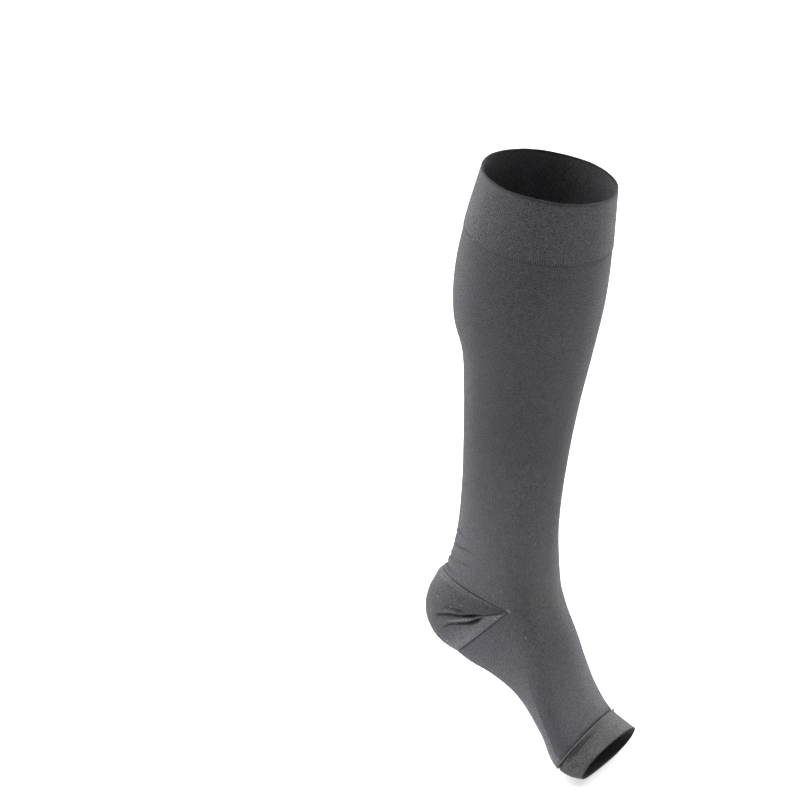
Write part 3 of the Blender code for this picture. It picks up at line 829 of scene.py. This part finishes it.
def yarn_shade(nodes, knit, place, stitches, course, down):
    """The mottled yarn: patches, specks, streaks along the wales and lines of inlaid yarn."""
    calc = nodes.math
    patches = nodes.noise(place, PATCH_SCALE, 3.0)
    specks = nodes.noise(place, SPECK_SCALE)
    streaks = nodes.noise(nodes.scaled(stitches, STREAK_SCALE), 1.0)
    inlay = calc("SINE", calc("MULTIPLY", course, 2 * math.pi / INLAY))
    melange = calc("MULTIPLY_ADD", down, -MELANGE_FADE * knit.melange, knit.melange)
    shade = calc("MULTIPLY_ADD", patches, PATCHES, 1.0)
    for what, share in ((specks, melange), (streaks, STREAKS), (inlay, INLAY_SHADE)):
        shade = calc("MULTIPLY_ADD", what, share, shade)
    return shade


def loop_shade(nodes, knit, wale, stagger, down, shade):
    """The pattern of raised loops on the yarn's shade, and the rib where the leg is narrow."""
    calc = nodes.math
    depth = calc("MULTIPLY_ADD", down, knit.stagger_low - knit.stagger, knit.stagger)
    # Painted relief shade: the loops' pattern is stronger where light grazes the leg's sides
    side_on = calc("COSINE", calc("MULTIPLY_ADD", wale, 4 * math.pi / WALES, PATTERN_PHASE))
    depth = calc("MULTIPLY", depth, calc("MULTIPLY_ADD", side_on, -PATTERN_SHADE_SWING, 1.0))
    shade = calc("MULTIPLY_ADD", stagger, depth, shade)
    rib = calc("MULTIPLY", calc("SINE", calc("MULTIPLY", wale, math.pi)), down)
    return calc("MAXIMUM", calc("MULTIPLY_ADD", rib, knit.rib, shade), DARKEST)


def knit_material(slot):
    """Matte dark knit: loops in wales and courses, every other one raised, in a mottled yarn."""
    knit, nodes = KNITS[slot], Nodes(slot)
    calc = nodes.math
    stitches = nodes.add("ShaderNodeUVMap", {"uv_map": "Stitches"}).outputs[0]
    place = nodes.add("ShaderNodeTexCoord").outputs["Object"]
    apart = nodes.add("ShaderNodeSeparateXYZ", Vector=stitches)
    wale, course = apart.outputs["X"], apart.outputs["Y"]
    yarn, stagger = stitch_pattern(nodes, wale, course)
    down = nodes.fill(nodes.add("ShaderNodeMapRange"), course, *DOWN_THE_LEG)
    shade = yarn_shade(nodes, knit, place, stitches, course, down)
    shade = loop_shade(nodes, knit, wale, stagger, down, shade)
    # Painted shade between the yarns, from the yarn's height
    shade = calc("MULTIPLY", shade, calc("MULTIPLY_ADD", yarn, YARN_SHADE, YARN_DARKEST))
    # The tone brings in the painted light and shade from the form's points
    tone = nodes.add("ShaderNodeAttribute", {"attribute_name": "tone"}).outputs["Fac"]
    shade = calc("MULTIPLY", shade, tone)
    hue = nodes.noise(place, HUE_SCALE, 1.0)
    green = calc("MULTIPLY", shade, calc("MULTIPLY_ADD", hue, GREEN_SWING, 1.0))
    blue = calc("MULTIPLY", shade, calc("MULTIPLY_ADD", hue, BLUE_SWING, 1.0))
    tint = nodes.add("ShaderNodeCombineXYZ", X=shade, Y=green, Z=blue).outputs[0]
    height = calc("MULTIPLY_ADD", stagger, 0.5, yarn)
    bump = nodes.add("ShaderNodeBump", Height=height, Strength=knit.relief, Distance=KNIT_RELIEF)
    nodes.look({
        "Base Color": nodes.scaled(tint, knit.colour),
        "Normal": bump.outputs["Normal"],
        "Roughness": KNIT_ROUGHNESS,
        "Specular IOR Level": KNIT_SPECULAR,
        "Sheen Weight": SHEEN,
        "Sheen Roughness": SHEEN_ROUGHNESS,
        "Sheen Tint": SHEEN_TINT,
    })
    return nodes.material


def thread_material(name, colour):
    """Twisted thread: a fine uneven colour along it."""
    nodes = Nodes(name)
    place = nodes.add("ShaderNodeTexCoord").outputs["Object"]
    twist = nodes.noise(place, TWIST_SCALE)
    shade = nodes.math("MULTIPLY_ADD", twist, 0.5, 1.0)
    tint = nodes.add("ShaderNodeCombineXYZ", X=shade, Y=shade, Z=shade).outputs[0]
    nodes.look({
        "Base Color": nodes.scaled(tint, colour),
        "Roughness": THREAD_ROUGHNESS,
        "Sheen Weight": THREAD_SHEEN,
    })
    return nodes.material


# ---- The pieces ----


def tube_stitches(start, stretches, first, last):
    """The stitches between the first and last rows of a tube, whose table starts at a distance."""
    wales = np.arange(2 * HALF + 1) / (2 * HALF) * WALES
    courses = (start + stops(stretches)[first : last + 1]) / COURSE
    return stitch_corners(wales[None, :], courses[:, None])


def top_band(form):
    last = row_at(LEG_ROWS, BAND_DEPTH)
    faces = corners(form.leg[: last + 1], True)
    stitches = tube_stitches(0, LEG_ROWS, 0, last)
    band = cloth("band_cloth", form, faces, stitches, BAND_WALL, "band_knit", BAND_PROUD)
    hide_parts("top_band")
    return band


def leg_and_foot(form):
    first, last = row_at(LEG_ROWS, BAND_DEPTH), row_at(FOOT_ROWS, TOE_SEAM)
    faces = np.concatenate((corners(form.leg[first:], True), corners(form.foot[: last + 1], True)))
    stitches = np.concatenate((
        tube_stitches(0, LEG_ROWS, first, len(form.leg)),
        tube_stitches(HEEL_START, FOOT_ROWS, 0, last),
    ))
    leg = cloth("leg_cloth", form, faces, stitches, LEG_WALL, "leg_knit")
    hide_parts("leg_foot")
    return leg


def heel_stitches(form):
    """Courses run parallel to the nearer seam, and meet at the suture."""
    above, below = Section(*LEG[-1]), Section(*FOOT[0])
    falls = stops(HEEL_ROWS)[:, None]
    grid = np.array([heel_row(fall, HEEL_TURNS) for fall in falls.ravel()])
    reach = lengths(grid[..., 1:] - (above.y, above.z))
    spread = math.radians(above.back_tilt - below.back_tilt)
    steps = lengths(np.diff(grid, axis=1)).mean(axis=0)
    wales = np.concatenate(([0], np.cumsum(steps)))[None, :]
    upper = reach * np.sin(falls * spread) / COURSE
    lower = reach * np.sin((1 - falls) * spread) / COURSE
    suture = int(np.searchsorted(falls.ravel(), COURSES_MEET))
    top = stitch_corners(wales, upper, backwards=True)
    bottom = stitch_corners(wales, lower, backwards=True)
    return np.concatenate((top[: suture * HALF], bottom[suture * HALF :]))


def heel(form):
    faces = corners(form.heel, backwards=True)
    pocket = cloth("heel_cloth", form, faces, heel_stitches(form), HEEL_WALL, "heel_knit")
    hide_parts("heel_pocket")
    return pocket


def toe(form):
    first = row_at(FOOT_ROWS, TOE_SEAM)
    faces = corners(form.foot[first:], True)
    stitches = tube_stitches(HEEL_START, FOOT_ROWS, first, len(form.foot))
    band = cloth("toe_cloth", form, faces, stitches, TOE_WALL, "toe_knit")
    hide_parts("toe_band")
    return band


def band_linking(form, material):
    """The row of linked loops that closes the doubled band onto the leg."""
    row = row_at(LEG_ROWS, BAND_DEPTH)
    threads = Threads()
    for k in range(LINK_COUNT):
        turn = 2 * k / LINK_COUNT
        normal = form.normals[form.leg[row, int(turn * HALF)]]
        path = [leg_place(turn, at) + normal * lift for at, lift in zip(LINK_AT, LINK_LIFTS)]
        threads.add(path, LINK_RADIUS)
    links = threads.build("band_linking", material)


def heel_linking(form, material):
    """Loops of near black thread in the grooves along the heel pocket's two seams: the seams' thread,
    darkened as painted shade for the grooves.
    """
    threads = Threads()
    shares = (np.arange(HEEL_LINKS) + 0.5) / HEEL_LINKS
    for row, radii in ((form.heel[0], UPPER_LINK), (form.heel[-1], LOWER_LINK)):
        middles, length = along_line(form.points[row], shares)
        ways = unit(np.gradient(middles, axis=0))
        for share, middle, along in zip(shares, middles, ways):
            normal = form.normals[row[int(share * HALF)]]
            aside = np.cross(normal, along) * HEEL_LINK_SLANT
            radius = np.interp(abs(share - 0.5), HEEL_LINK_AT, radii)
            end = along * length / HEEL_LINKS * HEEL_LINK_HALF + aside
            middle = middle - normal * HEEL_LINK_SUNK
            crown = middle + normal * HEEL_LINK_CROWN
            threads.add([middle - end, crown, middle + end], radius)
    links = threads.build("heel_linking", material)


def toe_overlock(form, material):
    """Slanting loops of thread over the rolled edge between the foot and the toe band."""
    row = row_at(FOOT_ROWS, TOE_SEAM)
    threads = Threads()
    angles = np.radians(np.linspace(-OVERLOCK_SPREAD, OVERLOCK_SPREAD, OVERLOCK_STEPS))
    for k in range(OVERLOCK_COUNT):
        turn = 2 * k / OVERLOCK_COUNT
        normal = form.normals[form.foot[row, int(turn * HALF)]]
        above, below = foot_place(turn, TOE_SEAM - 1), foot_place(turn, TOE_SEAM + 1)
        slanted = foot_place(turn + 0.5 / OVERLOCK_COUNT, TOE_SEAM)
        middle = foot_place(turn, TOE_SEAM)
        along, aside = unit(below - above), slanted - middle
        lump = LUMP_SIZE * hump(turn - LUMP_TURN, LUMP_WIDTH)
        path = []
        for angle in angles:
            across = (OVERLOCK_HALF_WIDTH + lump) * math.sin(angle)
            rise = (OVERLOCK_HEIGHT + lump) * math.cos(angle)
            path.append(middle + along * across + normal * rise + aside * math.sin(angle))
        threads.add(path, OVERLOCK_RADIUS)
    seam = threads.build("toe_overlock", material)
    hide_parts("toe_seam")


def toe_roll(form, material):
    """The rolled cloth edge under the overlock threads."""
    row = row_at(FOOT_ROWS, TOE_SEAM)
    middle, normal = form.points[form.foot[row]], form.normals[form.foot[row]]
    along = unit(form.points[form.foot[row + 2]] - form.points[form.foot[row - 2]])
    lump = LUMP_SIZE * hump(TURNS - LUMP_TURN, LUMP_WIDTH)
    height = OVERLOCK_HEIGHT - OVERLOCK_RADIUS + lump
    loops = []
    for angle in np.arange(ROLL_SIDES) * 2 * math.pi / ROLL_SIDES:
        rise = (height / 2 * (1 + math.sin(angle)))[:, None] - ROLL_SUNK
        across = ((OVERLOCK_HALF_WIDTH - OVERLOCK_RADIUS + lump) * math.cos(angle))[:, None]
        loops.append(middle + normal * rise + along * across)
    grid = np.arange(ROLL_SIDES * 2 * HALF).reshape(ROLL_SIDES, -1)
    faces = corners(np.vstack((grid, grid[:1])), True, backwards=True)
    roll = add_object("toe_roll", np.concatenate(loops), faces.tolist(), material)


def sideways(normal, rng):
    """Two directions along the cloth at right angles, the first of them at random."""
    side = unit(np.cross(normal, rng.normal(size=3)))
    return side, np.cross(normal, side)


def lint(form, material):
    """Short pale fibres caught on the cloth."""
    rng = np.random.default_rng(LINT_SEED)
    # below the top band, short of the toe seam, and inside the heel's seams
    grids = (form.leg[40:], form.foot[:60], form.heel[5:-5])
    places = np.concatenate([grid.ravel() for grid in grids])
    threads = Threads()
    for k in rng.choice(places, LINT_COUNT, replace=False):
        normal = form.normals[k]
        side, other = sideways(normal, rng)
        length, bend = rng.uniform(*LINT_LENGTHS), rng.uniform(-LINT_BEND, LINT_BEND)
        shares = np.linspace(-0.5, 0.5, 5)[:, None]
        path = side * length * shares + other * bend * 2 * shares**2
        threads.add(form.points[k] + normal * LINT_LIFT + path, rng.uniform(*LINT_RADII), sides=4)
    fibres = threads.build("lint", material)


def apex_ties(form, material):
    """The small knots of thread at the two tips of the heel pocket."""
    rng = np.random.default_rng(LINT_SEED)
    threads = Threads()
    for column in (0, HALF):
        tip = form.leg[-1, column]
        normal = form.normals[tip]
        for k in range(TIE_COUNT):
            side, other = sideways(normal, rng)
            aside, along = (rng.uniform(-TIE_SPREAD, TIE_SPREAD) for draw in range(2))
            start = form.points[tip] + side * aside + other * along
            angles = np.linspace(0, math.pi, 6)[:, None]
            bow = (other * TIE_BEND + normal * TIE_RISE) * np.sin(angles)
            path = start + side * TIE_LENGTH * np.cos(angles) + bow
            threads.add(path, rng.uniform(*TIE_RADII))
    ties = threads.build("apex_ties", material)


# ---- The studio ----


def directions(azimuth, elevation):
    """(right, up, back) of a camera or light at an angle round the object."""
    a, e = math.radians(azimuth), math.radians(elevation)
    right = Vector((math.cos(a), math.sin(a), 0))
    up = Vector((-math.sin(a) * math.sin(e), math.cos(a) * math.sin(e), math.cos(e)))
    return right, up, right.cross(up)


def aimed(name, data, aim, back, distance):
    """A camera or light at a distance from what it looks at."""
    thing = put(name, data)
    thing.location = Vector(aim) + back * distance
    thing.rotation_mode = "QUATERNION"
    thing.rotation_quaternion = back.to_track_quat("Z", "Y")
    return thing


def camera():
    """Looks so that the origin shows at ORIGIN_PIXEL."""
    right, up, back = directions(AZIMUTH, ELEVATION)
    pixel = SENSOR / LENS / IMAGE * DISTANCE
    across, down = IMAGE / 2 - ORIGIN_PIXEL[0], ORIGIN_PIXEL[1] - IMAGE / 2
    data = bpy.data.cameras.new("camera")
    data.lens, data.sensor_width = LENS, SENSOR
    aim = right * across * pixel + up * down * pixel
    bpy.context.scene.camera = aimed("camera", data, aim, back, DISTANCE)


# Lights: azimuths from the camera's, sizes in metres, watts, and the point that each is aimed at
LEG_MIDDLE, SOLE, BACKDROP = (0.0, 0.01, -0.24), (0.0, 0.03, -0.44), (2.0, 1.0, -0.5)
Softbox = namedtuple(
    "Softbox",
    "name azimuth elevation distance width height power spread aim",
    defaults=(180, LEG_MIDDLE),
)
SOFTBOXES = [
    Softbox("left", -100, 40, 1.8, 0.9, 0.9, 18),
    Softbox("behind_left", -140, 10, 1.8, 1.0, 1.8, 54),
    Softbox("right", 105, 40, 1.8, 0.9, 0.9, 3),
    Softbox("low_right", 80, 12, 1.6, 0.6, 1.6, 1.5),
    Softbox("behind_right", 140, 10, 1.8, 1.0, 1.8, 68),
    Softbox("low_front", 0, 4, 1.0, 0.8, 0.4, 0.3, 60, SOLE),
    Softbox("top", 0, 90, 2.4, 3.0, 3.0, 120),
    Softbox("backdrop", 0, 90, 2.4, 3.0, 3.0, 60, 180, BACKDROP),
]
HORIZON, SKY = 0.9, 0.05  # brightness of the room low down and higher up
HORIZON_TOP, SKY_START = 0.14, 0.3  # sines of the angles that they reach to
WHITE = (1, 1, 1, 1)
FLOOR_GREY, FLOOR_GLOW, FLOOR_ROUGHNESS = 0.6, 0.55, 0.8
FLOOR_HALF, FLOOR_GAP = 6.0, 0.0006


def softbox(box):
    back = directions(AZIMUTH + box.azimuth, box.elevation)[2]
    data = bpy.data.lights.new(box.name, "AREA")
    data.shape, data.size, data.size_y, data.energy = "RECTANGLE", box.width, box.height, box.power
    data.spread = math.radians(box.spread)
    aimed(box.name, data, box.aim, back, box.distance)


def sky():
    """A room that is bright low down, for the outlines, and dark above."""
    world = bpy.data.worlds.new("studio")
    world.use_nodes = True
    nodes, links = world.node_tree.nodes, world.node_tree.links
    place, apart = nodes.new("ShaderNodeTexCoord"), nodes.new("ShaderNodeSeparateXYZ")
    fade = nodes.new("ShaderNodeMapRange")
    for socket, value in zip(fade.inputs[1:5], (HORIZON_TOP, SKY_START, HORIZON, SKY)):
        socket.default_value = value
    links.new(place.outputs["Generated"], apart.inputs[0])
    links.new(apart.outputs["Z"], fade.inputs[0])
    links.new(fade.outputs[0], nodes["Background"].inputs["Strength"])
    nodes["Background"].inputs["Color"].default_value = WHITE
    bpy.context.scene.world = world


def floor():
    """A ground just under the stocking, which glows a little and so is white."""
    low, high, level = -FLOOR_HALF, FLOOR_HALF, cad_box[0][2] - FLOOR_GAP
    mesh = bpy.data.meshes.new("floor")
    square = [(low, low, level), (high, low, level), (high, high, level), (low, high, level)]
    mesh.from_pydata(square, [], [[0, 1, 2, 3]])
    nodes = Nodes("floor")
    nodes.look({
        "Base Color": (FLOOR_GREY, FLOOR_GREY, FLOOR_GREY, 1),
        "Roughness": FLOOR_ROUGHNESS,
        "Emission Color": WHITE,
        "Emission Strength": FLOOR_GLOW,
    })
    mesh.materials.append(nodes.material)
    put("floor", mesh)


def main():
    camera()
    sky()
    for box in SOFTBOXES:
        softbox(box)
    floor()
    bpy.context.scene.view_settings.view_transform = "Standard"
    form = Form()
    thread = thread_material("seam_thread", THREAD)
    dark = thread_material("seam_thread_groove_shade", GROOVE_SHADE_THREAD)
    pale = thread_material("pale_fibre", LINT)
    band, leg, pocket, toe_band = top_band(form), leg_and_foot(form), heel(form), toe(form)
    band_linking(form, thread_material("linking_thread", LINK_THREAD))
    heel_linking(form, dark)
    toe_overlock(form, thread)
    toe_roll(form, thread)
    apex_ties(form, pale)
    lint(form, pale)


main()
